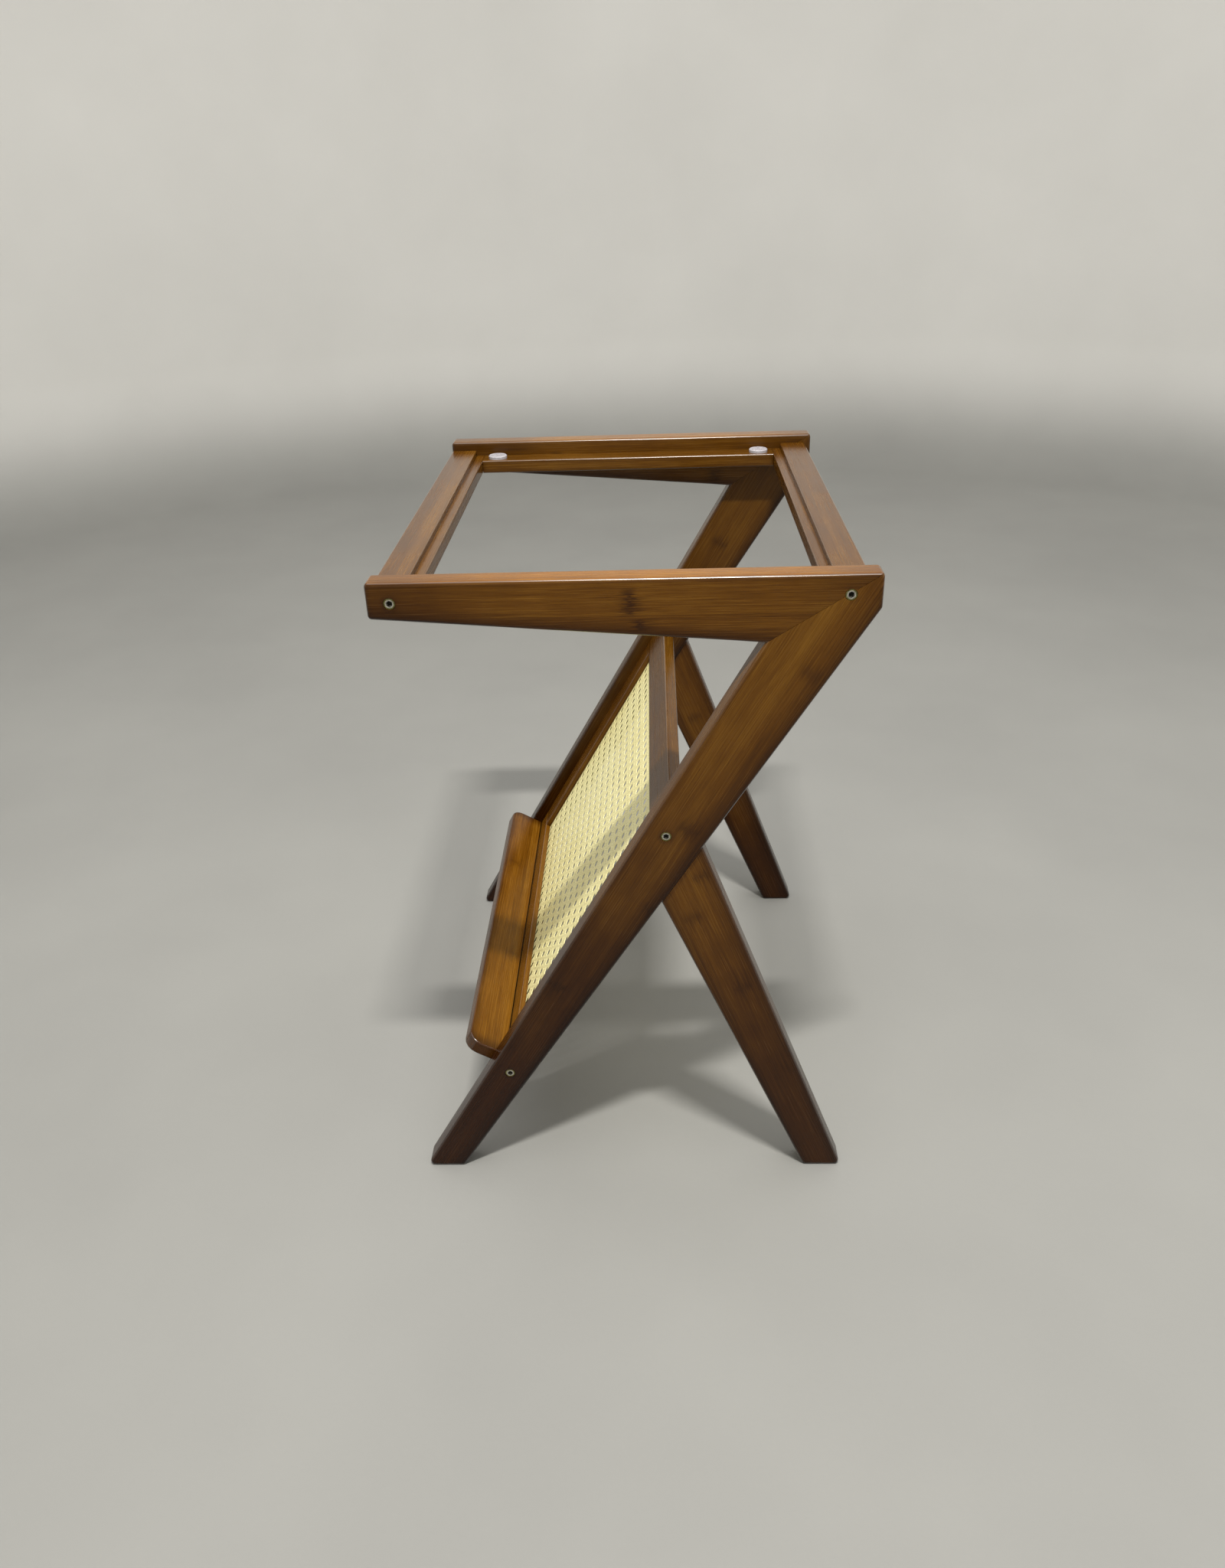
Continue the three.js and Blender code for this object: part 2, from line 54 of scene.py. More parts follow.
# ---- how the pieces lie: X front to back, Y right to left, Z up ----
ACROSS = Vector((0, 1, 0))
ALONG_ARM = Vector((1, 0, 0))
UP = Vector((0, 0, 1))


def up_at(lean):
    return Vector((math.cos(lean), 0, math.sin(lean)))


def back_at(lean):
    return Vector((math.sin(lean), 0, -math.cos(lean)))


RACK_UP = up_at(math.radians(60))
RACK_BACK = back_at(math.radians(60))
REAR_LEG_UP = up_at(math.radians(112))
REAR_LEG_BACK = back_at(math.radians(112))

# Outward directions of the edges that aren't parallel to their piece
ARM_UNDERSIDE = back_at(math.radians(-4.7))
DIAGONAL_BACK_EDGE = back_at(math.radians(57.5))
REAR_LEG_FRONT_EDGE = -back_at(math.radians(113.4))
REAR_LEG_BACK_EDGE = back_at(math.radians(110.4))


def reach(node, axis):
    """How far a CAD piece reaches along an axis, low and high."""
    places_along = [axis.dot(corner.co) for corner in nodes[node].data.vertices]
    return min(places_along), max(places_along)


# ---- camera, at a standing person's eye, looking down on the right side frame ----
CAMERA_PLACE = (0.0264, -0.9913, 0.8141)
CAMERA_YAW = 0.043
CAMERA_PITCH = 0.501
CAMERA_ROLL = -0.035
CAMERA_LENS = 27.23
CAMERA_SENSOR = 36
CAMERA_REACH = 50


def make_camera():
    data = bpy.data.cameras.new("camera")
    data.lens = CAMERA_LENS
    data.sensor_width = CAMERA_SENSOR
    data.clip_end = CAMERA_REACH
    camera = bpy.data.objects.new("camera", data)
    bpy.context.scene.collection.objects.link(camera)
    turn = (
        Matrix.Rotation(CAMERA_YAW, 4, "Z")
        @ Matrix.Rotation(math.pi / 2 - CAMERA_PITCH, 4, "X")
        @ Matrix.Rotation(CAMERA_ROLL, 4, "Z")
    )
    camera.matrix_world = Matrix.Translation(CAMERA_PLACE) @ turn
    bpy.context.scene.camera = camera


# ---- node graphs ----
class Graph:
    """Short calls for building one material's node tree."""

    def __init__(self, name):
        self.material = bpy.data.materials.new(name)
        self.material.use_nodes = True
        self.tree = self.material.node_tree
        self.shader = self.tree.nodes["Principled BSDF"]
        self.position = self.node("ShaderNodeTexCoord").outputs["Object"]

    def node(self, kind, inputs=(), **settings):
        made = self.tree.nodes.new(kind)
        for key, value in settings.items():
            setattr(made, key, value)
        for key, value in dict(inputs).items():
            self.feed(made.inputs[key], value)
        return made

    def feed(self, socket, value):
        if isinstance(value, bpy.types.NodeSocket):
            self.tree.links.new(value, socket)
        else:
            socket.default_value = value

    def set(self, **inputs):
        for key, value in inputs.items():
            self.feed(self.shader.inputs[key.replace("_", " ")], value)

    def math(self, operation, a, b=0.0):
        return self.node("ShaderNodeMath", {0: a, 1: b}, operation=operation).outputs[0]

    def add(self, a, b):
        return self.math("ADD", a, b)

    def subtract(self, a, b):
        return self.math("SUBTRACT", a, b)

    def multiply(self, a, b):
        return self.math("MULTIPLY", a, b)

    def distance(self, a, b):
        return self.math("ABSOLUTE", self.subtract(a, b))

    def dot(self, vector, axis):
        made = self.node("ShaderNodeVectorMath", {0: vector, 1: axis}, operation="DOT_PRODUCT")
        return made.outputs["Value"]

    def vector(self, x, y, z):
        return self.node("ShaderNodeCombineXYZ", {0: x, 1: y, 2: z}).outputs[0]

    def stretch(self, vector, scale):
        made = self.node("ShaderNodeVectorMath", {0: vector, 1: scale}, operation="MULTIPLY")
        return made.outputs[0]

    def noise(self, vector, scale=1.0, detail=3.0, roughness=0.55):
        made = self.node(
            "ShaderNodeTexNoise",
            {"Vector": vector, "Scale": scale, "Detail": detail, "Roughness": roughness},
        )
        return made.outputs["Fac"]

    def random(self, value):
        made = self.node("ShaderNodeTexWhiteNoise", {"W": value}, noise_dimensions="1D")
        return made.outputs["Value"]

    def span(self, value, low, high, to_low=0.0, to_high=1.0):
        """A soft step from to_low to to_high as the value goes from low to high."""
        made = self.node(
            "ShaderNodeMapRange",
            {"Value": value, "From Min": low, "From Max": high,
             "To Min": to_low, "To Max": to_high},
            interpolation_type="SMOOTHSTEP",
        )
        return made.outputs[0]

    def mix(self, factor, a, b, blend="MIX"):
        made = self.node("ShaderNodeMix", data_type="RGBA", blend_type=blend)
        for index, value in ((0, factor), (6, a), (7, b)):
            self.feed(made.inputs[index], value)
        return made.outputs[2]

    def ramp(self, value, *stops):
        made = self.node("ShaderNodeValToRGB", {0: value})
        elements = made.color_ramp.elements
        while len(elements) < len(stops):
            elements.new(0.5)
        for element, (place, colour) in zip(elements, stops):
            element.position = place
            element.color = colour
        return made.outputs[0]

    def bump(self, height, distance, strength=1.0):
        made = self.node(
            "ShaderNodeBump",
            {"Strength": strength, "Distance": distance, "Height": height},
        )
        return made.outputs[0]


def grey(value):
    return (value, value, value, 1)


# ---- stained bamboo ----
STRIP_WIDTH = 20 * MM
STRIP_WANDER = 2.0 * MM
STAIN_DARK = (0.034, 0.0100, 0.0006, 1)
STAIN_MID = (0.116, 0.0430, 0.0020, 1)
STAIN_LIGHT = (0.215, 0.0960, 0.0090, 1)
# Tint of burnt stain, also used for painted shade in concave corners.
BURN_AND_SHADE_TINT = (0.26, 0.19, 0.15, 1)
EDGE_BURN_AND_SHADE_RADIUS = 7 * MM
EDGE_BURN_WIDTH = 14 * MM
PORE_DEPTH = 0.6
SEAM_DEPTH = 0.8
LACQUER_ROUGHNESS = 0.22
BAMBOO_IOR = 1.31


class Streaks(NamedTuple):
    """Noise drawn out along the fibres: its scale across and along, detail and offset."""
    per_across: float
    per_along: float
    detail: float
    offset: float


BROAD = Streaks(80.0, 2.0, 2.0, 0.0)
FIBRE = Streaks(1000.0, 12.0, 1.0, 11.0)
FINE = Streaks(2600.0, 40.0, 1.0, 17.0)
DASHES = Streaks(1800.0, 170.0, 1.0, 23.0)
TEARS = Streaks(900.0, 30.0, 2.0, 31.0)


class Knuckle(NamedTuple):
    """A dark growth ring: its middle along and across the piece, its size and strength."""
    along: float
    across: float
    length: float
    width: float
    strength: float


class BurnAndShade(NamedTuple):
    """Darkening along an axis, from a clean place to a dark one: mostly burnt stain, partly painted
    shade at the feet and wholly painted shadow under the shelf.
    """
    axis: Vector
    clean: float
    burnt: float
    strength: float
    colour: tuple = BURN_AND_SHADE_TINT


class Joint(NamedTuple):
    """Plane of a glued joint, where the edges are not darkened."""
    normal: Vector
    offset: float


class Bamboo(Graph):
    """A node graph with the places, fibres and blotches of laminated strips."""

    def __init__(self, name, along_axis, across_axis, seed, strip_at):
        super().__init__(name)
        self.seed = seed
        self.axes = (along_axis, across_axis, along_axis.cross(across_axis))
        self.along, self.across, self.side = [self.dot(self.position, axis) for axis in self.axes]
        self.normal = self.node("ShaderNodeNewGeometry").outputs["True Normal"]
        self.facing_up = self.dot(self.normal, UP)
        self.lay_strips(strip_at)
        self.fibre = self.streaks(FIBRE)
        self.dashes = self.streaks(DASHES)
        self.blotch = self.noise(self.stretch(self.position, (13.0, 13.0, 13.0)), 1.0, 3.0)
        self.pores = self.span(self.dashes, 0.62, 0.76, 0.0, 0.35)

    def lay_strips(self, strip_at):
        """Each strip has its own shade and its own stretch of the grain."""
        place = self.math("DIVIDE", self.subtract(self.across, strip_at), STRIP_WIDTH)
        strip = self.math("FLOOR", place)
        self.seam = self.span(self.distance(self.subtract(place, strip), 0.5), 0.484, 0.5, 0.0, 0.3)
        self.shade = self.random(self.add(strip, self.seed + 0.37))
        self.jump = self.multiply(self.random(self.add(strip, self.seed + 7.1)), 3.0)
        bend = self.vector(self.multiply(self.along, 7.0), self.seed, self.seed)
        self.wander = self.multiply(self.subtract(self.noise(bend, 1.0, 1.0), 0.5), STRIP_WANDER)

    def streaks(self, kind):
        scaled = self.vector(
            self.multiply(self.add(self.along, self.jump), kind.per_along),
            self.multiply(self.add(self.across, self.wander), kind.per_across),
            self.add(self.multiply(self.side, kind.per_across), self.seed + kind.offset),
        )
        return self.noise(scaled, 1.0, kind.detail, 0.6)


def darken(g, mask, colour, towards=BURN_AND_SHADE_TINT):
    return g.mix(mask, colour, g.mix(1.0, colour, towards, "MULTIPLY"))


def stain(g):
    """Colour of the stained strips, with their pores and the seams between them."""
    tint = 0.0
    layers = (
        (g.fibre, 0.26),
        (g.streaks(FINE), 0.30),
        (g.streaks(BROAD), 0.22),
        (g.shade, 0.08),
        (g.blotch, 0.20),
    )
    for layer, share in layers:
        tint = g.add(tint, g.multiply(layer, share))
    tint = g.subtract(tint, 0.03)
    colour = g.ramp(tint, (0.30, STAIN_DARK), (0.50, STAIN_MID), (0.68, STAIN_LIGHT))
    colour = g.mix(g.pores, colour, STAIN_DARK)
    return g.mix(g.seam, colour, STAIN_DARK)


def knuckle_mask(g, mark, tear):
    """Soft mask of one growth ring across a strip, drawn out along each fibre."""
    lengthwise = g.math("DIVIDE", g.distance(g.along, mark.along), tear)
    core = g.span(lengthwise, mark.length * 0.1, mark.length, 1, 0)
    crosswise = g.distance(g.across, mark.across)
    inside = g.span(crosswise, mark.width * 0.35, mark.width * 0.6, 1, 0)
    return g.multiply(core, inside)


def add_knuckles(g, colour, knuckles):
    tear = g.span(g.streaks(TEARS), 0.36, 0.66, 0.35, 2.4)
    broken = g.span(g.dashes, 0.38, 0.62, 0.55, 1.0)
    for mark in knuckles:
        mask = g.multiply(g.multiply(knuckle_mask(g, mark, tear), broken), mark.strength)
        colour = g.mix(mask, colour, STAIN_DARK)
    return colour


def add_burns_and_shade(g, colour, burns_and_shade):
    """Darkens towards each dark place, whether burnt stain or painted shade, with a front that the
    blotches break up.
    """
    for burn in burns_and_shade:
        spread = 0.5 * abs(burn.burnt - burn.clean)
        cloudy = g.multiply(g.subtract(g.blotch, 0.5), spread)
        place = g.add(g.dot(g.position, burn.axis), cloudy)
        mask = g.span(place, burn.clean, burn.burnt, 0.0, burn.strength)
        colour = darken(g, mask, colour, burn.colour)
    return colour


def edge_mask(g, radius, sharpness):
    """1 along convex and concave edges, 0 on open faces."""
    bevel = g.node("ShaderNodeBevel", {"Radius": radius}, samples=4).outputs[0]
    return g.span(g.dot(bevel, g.normal), 1.0, 1.0 - sharpness)


def burn_and_shade_edges(g, colour, joint):
    """Dark edges in patches, burnt toner on convex edges and painted shade in concave corners,
    faint where they face up and absent beside a glued joint.
    """
    patches = g.span(g.blotch, 0.3, 0.7, 0.5, 0.95)
    sprayed_and_shaded = g.multiply(patches, g.span(g.facing_up, 0.3, 0.9, 1, 0.1))
    mask = g.multiply(edge_mask(g, EDGE_BURN_AND_SHADE_RADIUS, 0.20), sprayed_and_shaded)
    if joint:
        away = g.distance(g.dot(g.position, joint.normal), joint.offset)
        mask = g.multiply(mask, g.span(away, 0.4 * EDGE_BURN_AND_SHADE_RADIUS, 1.3 * EDGE_BURN_AND_SHADE_RADIUS))
    return darken(g, mask, colour)


def set_tone_and_top_light(g, colour, tone, top_painted_light):
    """Scales the whole piece's colour by tone, and its top faces by a further factor as well:
    painted light on the faces that face up.
    """
    colour = g.mix(1.0, colour, grey(tone), "MULTIPLY")
    top = g.mix(1.0, colour, grey(top_painted_light), "MULTIPLY")
    return g.mix(g.span(g.facing_up, 0.6, 0.95), colour, top)


def lacquer(g):
    """Satin coat that catches light on rounded edges and, more weakly, on top faces."""
    squareness = 0.0
    for axis in g.axes:
        along_normal = g.math("ABSOLUTE", g.dot(g.normal, axis))
        squareness = g.math("MAXIMUM", squareness, along_normal)
    on_edges = g.span(squareness, 0.90, 0.985, 0.9, 0.0)
    on_top = g.span(g.facing_up, 0.9, 1.0, 0.0, 0.4)
    g.set(Coat_Weight=g.math("MAXIMUM", on_edges, on_top))
    g.set(Coat_Roughness=LACQUER_ROUGHNESS)
    g.set(Roughness=g.span(g.add(g.fibre, g.blotch), 0.7, 1.3, 0.18, 0.30))
    g.set(IOR=BAMBOO_IOR)


def relief(g):
    height = g.subtract(g.multiply(g.fibre, 0.5), g.multiply(g.pores, PORE_DEPTH))
    height = g.subtract(height, g.multiply(g.seam, SEAM_DEPTH))
    g.set(Normal=g.bump(height, 0.03 * MM, 0.4))


def bamboo(name, along_axis, across_axis, seed, strip_at=0.0, knuckles=(), burns_and_shade=(), tone=1.0,
           top_painted_light=1.0, joint=None):
    """Laminated strips that run along one axis and lie beside each other along another.
    strip_at is the place of one seam, and the seed picks the grain."""
    g = Bamboo(name, along_axis, across_axis, seed, strip_at)
    colour = stain(g)
    colour = add_knuckles(g, colour, knuckles)
    colour = add_burns_and_shade(g, colour, burns_and_shade)
    colour = burn_and_shade_edges(g, colour, joint)
    g.set(Base_Color=set_tone_and_top_light(g, colour, tone, top_painted_light))
    lacquer(g)
    relief(g)
    return g.material


# ---- other materials ----
IVORY = ((0.820, 0.740, 0.340, 1), (0.900, 0.840, 0.450, 1))
ZINC_BODY = ((0.36, 0.35, 0.29, 1), (0.60, 0.58, 0.52, 1))
ZINC_RIM = ((0.13, 0.12, 0.04, 1), (0.26, 0.24, 0.09, 1))
# Painted shade for the screw sockets.
SOCKET_PAINTED_SHADE = (0.015, 0.014, 0.012, 1)
MILKY = ((0.53, 0.51, 0.55, 1), (0.60, 0.58, 0.62, 1))
BEECH = ((0.40, 0.24, 0.11, 1), (0.66, 0.46, 0.25, 1))


def cane_plastic():
    g = Graph("ivory_cane")
    patches = g.noise(g.position, 14.0, 3.0)
    speck = g.noise(g.position, 900.0, 2.0)
    tint = g.add(g.multiply(patches, 0.6), g.multiply(speck, 0.4))
    g.set(Base_Color=g.ramp(tint, (0.35, IVORY[0]), (0.65, IVORY[1])))
    g.set(Roughness=g.span(speck, 0.35, 0.65, 0.26, 0.38))
    g.set(IOR=1.50)
    g.set(Normal=g.bump(g.noise(g.position, 2600.0, 1.0), 0.05 * MM, 0.5))
    return g.material


def zinc(name, along_axis):
    """Passivated screw: a greenish rim, a grey ring and a socket painted dark as shade."""
    g = Graph(f"zinc_{name}")
    low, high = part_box(name)
    middle = (low + high) / 2
    from_middle = g.node("ShaderNodeVectorMath", {0: g.position, 1: middle}, operation="SUBTRACT")
    flat = Vector((1, 1, 1)) - Vector([abs(part) for part in along_axis])
    flat_offset = g.stretch(from_middle.outputs[0], flat)
    radius = g.node("ShaderNodeVectorMath", {0: flat_offset}, operation="LENGTH").outputs["Value"]
    cloud = g.noise(g.position, 900.0, 3.0)
    body = g.ramp(cloud, (0.35, ZINC_BODY[0]), (0.65, ZINC_BODY[1]))
    rim = g.ramp(cloud, (0.35, ZINC_RIM[0]), (0.65, ZINC_RIM[1]))
    colour = g.mix(g.span(radius, 2.9 * MM, 3.3 * MM), body, rim)
    # Painted shade inside the hex socket.
    colour = g.mix(g.span(radius, 1.8 * MM, 2.2 * MM, 1.0, 0.0), colour, SOCKET_PAINTED_SHADE)
    g.set(Base_Color=colour)
    g.set(Metallic=1.0)
    g.set(Roughness=g.span(cloud, 0.3, 0.7, 0.30, 0.50))
    g.set(Normal=g.bump(g.noise(g.position, 2500.0, 2.0), 0.05 * MM, 0.5))
    return g.material


def silicone():
    g = Graph("milky_silicone")
    haze = g.noise(g.position, 260.0, 2.0)
    g.set(Base_Color=g.ramp(haze, (0.3, MILKY[0]), (0.7, MILKY[1])))
    g.set(Roughness=g.span(haze, 0.3, 0.7, 0.22, 0.36))
    g.set(Transmission_Weight=0.35)
    g.set(IOR=1.41)
    g.set(Normal=g.bump(haze, 0.04 * MM, 0.3))
    return g.material


def bare_beech():
    g = Graph("bare_beech")
    flecks = g.noise(g.stretch(g.position, (500.0, 60.0, 500.0)), 1.0, 3.0)
    g.set(Base_Color=g.ramp(flecks, (0.3, BEECH[0]), (0.7, BEECH[1])))
    g.set(Roughness=g.span(flecks, 0.3, 0.7, 0.6, 0.8))
    g.set(Normal=g.bump(flecks, 0.1 * MM, 0.5))
    return g.material


# ---- finishes of the CAD pieces ----
MITRE_NORMAL = Vector((-0.525, 0, 0.851))
MITRE = Joint(MITRE_NORMAL, MITRE_NORMAL.dot(Vector((0.1029, 0, 0.501))))
# Darker towards the feet: partly burnt stain, partly painted shade near the floor.
DIAGONAL_FOOT_BURN_AND_SHADE = BurnAndShade(UP, 0.48, 0.08, 1.0, (0.24, 0.16, 0.10, 1))
REAR_FOOT_BURN_AND_SHADE = BurnAndShade(UP, 0.36, 0.00, 1.0, (0.36, 0.28, 0.24, 1))
# Colour of the painted shadow line in the gap under the shelf.
SHELF_GAP_PAINTED_SHADOW = grey(0.04)

# Tone per side; the far, left arm is darker as painted shade.
ARM_TONE_AND_FAR_SHADE = {"right": 0.88, "left": 0.75}
# Arm tops lightened as painted light and sheen from above.
ARM_TOP_PAINTED_LIGHT = 1.95
# Tone per side; the far, left diagonal is darker as painted shade.
DIAGONAL_TONE_AND_FAR_SHADE = {"right": 0.86, "left": 0.66}
REAR_LEG_TONE = 0.88
SHELF_TONE = 1.2

ARM_KNUCKLES = {
    "right": [
        Knuckle(9 * MM, 533 * MM, 7 * MM, 20 * MM, 1.0),
        Knuckle(16 * MM, 516 * MM, 6 * MM, 9 * MM, 1.0),
    ],
    "left": [
        Knuckle(-70 * MM, 530 * MM, 7 * MM, 18 * MM, 0.7),
        Knuckle(88 * MM, 512 * MM, 8 * MM, 12 * MM, 0.7),
    ],
}
DIAGONAL_KNUCKLES = {
    "right": [
        Knuckle(481 * MM, -121 * MM, 7 * MM, 16 * MM, 0.5),
        Knuckle(328 * MM, -132 * MM, 9 * MM, 18 * MM, 0.7),
        Knuckle(250 * MM, -121 * MM, 7 * MM, 16 * MM, 0.5),
        Knuckle(147 * MM, -153 * MM, 7 * MM, 18 * MM, 0.6),
    ],
    "left": [
        Knuckle(430 * MM, -140 * MM, 7 * MM, 18 * MM, 0.6),
        Knuckle(210 * MM, -134 * MM, 8 * MM, 18 * MM, 0.6),
    ],
}
REAR_LEG_KNUCKLES = {
    "right": [
        Knuckle(264 * MM, 170 * MM, 6 * MM, 14 * MM, 0.6),
        Knuckle(230 * MM, 150 * MM, 7 * MM, 16 * MM, 0.6),
        Knuckle(150 * MM, 162 * MM, 7 * MM, 16 * MM, 0.6),
    ],
    "left": [
        Knuckle(200 * MM, 155 * MM, 7 * MM, 16 * MM, 0.6),
        Knuckle(90 * MM, 148 * MM, 7 * MM, 16 * MM, 0.5),
    ],
}

# Axis along which the strips lie beside each other, and tone
CROSSWISE_PIECES = {
    "cross_rail_front": (ALONG_ARM, 0.85),
    "cross_rail_rear": (ALONG_ARM, 0.85),
    "rack_top_rail": (RACK_UP, 0.68),
    "rack_bottom_rail": (RACK_UP, 1.1),
    "sheet_bead_top": (RACK_UP, 1.0),
    "sheet_bead_bottom": (RACK_UP, 1.0),
}
CROSSWISE_SEED = 41.0


def edge_burn(node, outward, strength=0.8):
    """Darkening that fades in towards one straight edge of a piece."""
    edge = reach(node, outward)[1]
    return BurnAndShade(outward, edge - EDGE_BURN_WIDTH, edge, strength)


def arm_finish(side, seed):
    low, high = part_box(f"arm_{side}")
    burns_and_shade = [
        BurnAndShade(ALONG_ARM, low.x + 110 * MM, low.x, 0.6),
        BurnAndShade(ALONG_ARM, high.x - 70 * MM, high.x + 10 * MM, 0.6),
        edge_burn(f"arm_{side}", ARM_UNDERSIDE),
    ]
    return bamboo(
        f"bamboo_arm_{side}", ALONG_ARM, UP, seed, 3 * MM, ARM_KNUCKLES[side], burns_and_shade,
        ARM_TONE_AND_FAR_SHADE[side], ARM_TOP_PAINTED_LIGHT, MITRE,
    )


def diagonal_finish(side, seed):
    burns_and_shade = [DIAGONAL_FOOT_BURN_AND_SHADE, edge_burn(f"diagonal_leg_{side}", DIAGONAL_BACK_EDGE)]
    return bamboo(
        f"bamboo_diagonal_{side}", RACK_UP, RACK_BACK, seed, 9 * MM, DIAGONAL_KNUCKLES[side],
        burns_and_shade, DIAGONAL_TONE_AND_FAR_SHADE[side], joint=MITRE,
    )


def rear_leg_finish(side, seed):
    burns_and_shade = [
        REAR_FOOT_BURN_AND_SHADE,
        edge_burn(f"rear_leg_{side}", REAR_LEG_FRONT_EDGE, 0.6),
        edge_burn(f"rear_leg_{side}", REAR_LEG_BACK_EDGE, 0.6),
    ]
    return bamboo(
        f"bamboo_rear_leg_{side}", REAR_LEG_UP, REAR_LEG_BACK, seed, 0.0,
        REAR_LEG_KNUCKLES[side], burns_and_shade, REAR_LEG_TONE,
    )


def shelf_finish():
    """Orange-brown board with a black line of painted shadow where it meets the rack's bottom rail.
    """
    front, back = reach("rack_shelf", RACK_BACK)
    right, left = reach("rack_shelf", ACROSS)
    burns_and_shade = [
        # Painted shadow of the gap between the shelf and the bottom rail.
        BurnAndShade(RACK_BACK, back - 1.3 * MM, back - 0.7 * MM, 1.0, SHELF_GAP_PAINTED_SHADOW),
        BurnAndShade(RACK_BACK, front + 7 * MM, front, 0.7),
        BurnAndShade(ACROSS, right + 16 * MM, right, 0.8),
        BurnAndShade(ACROSS, left - 16 * MM, left, 0.8),
    ]
    knuckles = [
        Knuckle(-60 * MM, back - 10 * MM, 5 * MM, 16 * MM, 0.4),
        Knuckle(95 * MM, back - 24 * MM, 5 * MM, 14 * MM, 0.4),
    ]
    return bamboo("bamboo_rack_shelf", ACROSS, RACK_BACK, 77.0, 0.0, knuckles, burns_and_shade, SHELF_TONE)


def dress(node, material):
    mesh = nodes[node].data
    mesh.materials.clear()
    mesh.materials.append(material)


def dress_side(side, seed):
    dress(f"arm_{side}", arm_finish(side, seed))
    dress(f"diagonal_leg_{side}", diagonal_finish(side, seed + 5.0))
    dress(f"rear_leg_{side}", rear_leg_finish(side, seed + 9.0))
    ledge = bamboo(f"bamboo_ledge_{side}", ALONG_ARM, ACROSS, seed + 13.0, tone=0.7)
    dress(f"ledge_strip_{side}", ledge)
    stile = bamboo(f"bamboo_stile_{side}", RACK_UP, ACROSS, seed + 17.0, tone=0.8)
    dress(f"rack_stile_{side}", stile)
    bead = bamboo(f"bamboo_bead_{side}", RACK_UP, ACROSS, seed + 21.0)
    dress(f"sheet_bead_{side}", bead)


def dress_wood():
    dress_side("right", 3.0)
    dress_side("left", 19.0)
    for index, (node, (across, tone)) in enumerate(CROSSWISE_PIECES.items()):
        seed = CROSSWISE_SEED + 6 * index
        dress(node, bamboo(f"bamboo_{node}", ACROSS, across, seed, tone=tone))
    dress("rack_shelf", shelf_finish())


def dress_small_parts(cane):
    plain = {
        "clear_bumper": silicone(),
        "bare_wood": bare_beech(),
        "lattice": cane,
    }
    for part in frame["record"]["subparts"]:
        slot = part["material_slot"]
        if slot in plain:
            dress(part["node"], plain[slot])
        if slot == "zinc":
            way = RACK_BACK if part["node"].startswith("shelf") else ACROSS
            dress(part["node"], zinc(part["node"], way))


CORNER_ANGLE = math.radians(35)


def smooth_round_edges():
    """Shades the facets of each rounded edge as one curve and keeps the true corners."""
    for piece in nodes.values():
        for face in piece.data.polygons:
            face.use_smooth = True
        weld = piece.modifiers.new("weld", "WELD")
        weld.merge_threshold = 0.002 * MM
        split = piece.modifiers.new("corners", "EDGE_SPLIT")
        split.split_angle = CORNER_ANGLE
        flat = piece.modifiers.new("flat_faces", "WEIGHTED_NORMAL")
        flat.keep_sharp = True
        flat.weight = 100


# ---- cane panel, its strands in coordinates across and up the sheet ----
PITCH_ACROSS = 13.3 * MM
PITCH_UP = 13.0 * MM
HOLE_OFFSET_ACROSS = 4.8 * MM
HOLE_OFFSET_UP = 8.8 * MM
STRAND_WIDTH = 3.8 * MM
STRAND_THICKNESS = 0.7 * MM
PAIR_SPACING = 4.2 * MM
DIAGONAL_WIDTH = 4.0 * MM
LIFT_SHARE = 0.36
DIP_SHARE = 0.5
STEPS_PER_CELL = 6
SECTION = [(-0.5, 0.0), (-0.3, 0.5), (0.3, 0.5), (0.5, 0.0), (0.3, -0.5), (-0.3, -0.5)]


class Panel(NamedTuple):
    """Where the strands start, how far they run across and up, and the room for their waves."""
    corner: Vector
    width: float
    height: float
    thickness: float
    hole_across: float
    hole_up: float


def measure_panel():
    """Sums the leaning sheet's box along the slope and across it. The sums mix length and
    thickness: a sheet of 253.6 by 1.4 mm counts as 254.8 by 0.7 mm. So the waves of the strands
    are flat, and the upright strands end 0.3 mm below and 0.9 mm above the sheet."""
    low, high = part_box("rack_lattice_sheet")
    size = high - low
    height = size.x * RACK_UP.x + size.z * RACK_UP.z
    thickness = size.x * RACK_BACK.x + size.z * RACK_BACK.z
    corner = Vector((low.x, low.y, low.z - RACK_BACK.z * thickness))
    hole_across = size.y / 2 + HOLE_OFFSET_ACROSS
    return Panel(corner, size.y, height, thickness, hole_across, HOLE_OFFSET_UP)


def ribbon(points, width_way, width):
    """Vertices and faces of a flattened strand. Points are (across, up, height)."""
    vertices = []
    for across, up, height in points:
        for wide, tall in SECTION:
            vertices.append((
                across + width_way[0] * wide * width,
                up + width_way[1] * wide * width,
                height + tall * STRAND_THICKNESS,
            ))
    sides = len(SECTION)
    last_ring = (len(points) - 1) * sides
    faces = []
    for ring in range(0, last_ring, sides):
        for k in range(sides):
            beside = (k + 1) % sides
            faces.append((ring + k, ring + beside, ring + sides + beside, ring + sides + k))
    faces.append(tuple(reversed(range(sides))))
    faces.append(tuple(range(last_ring, last_ring + sides)))
    return vertices, faces


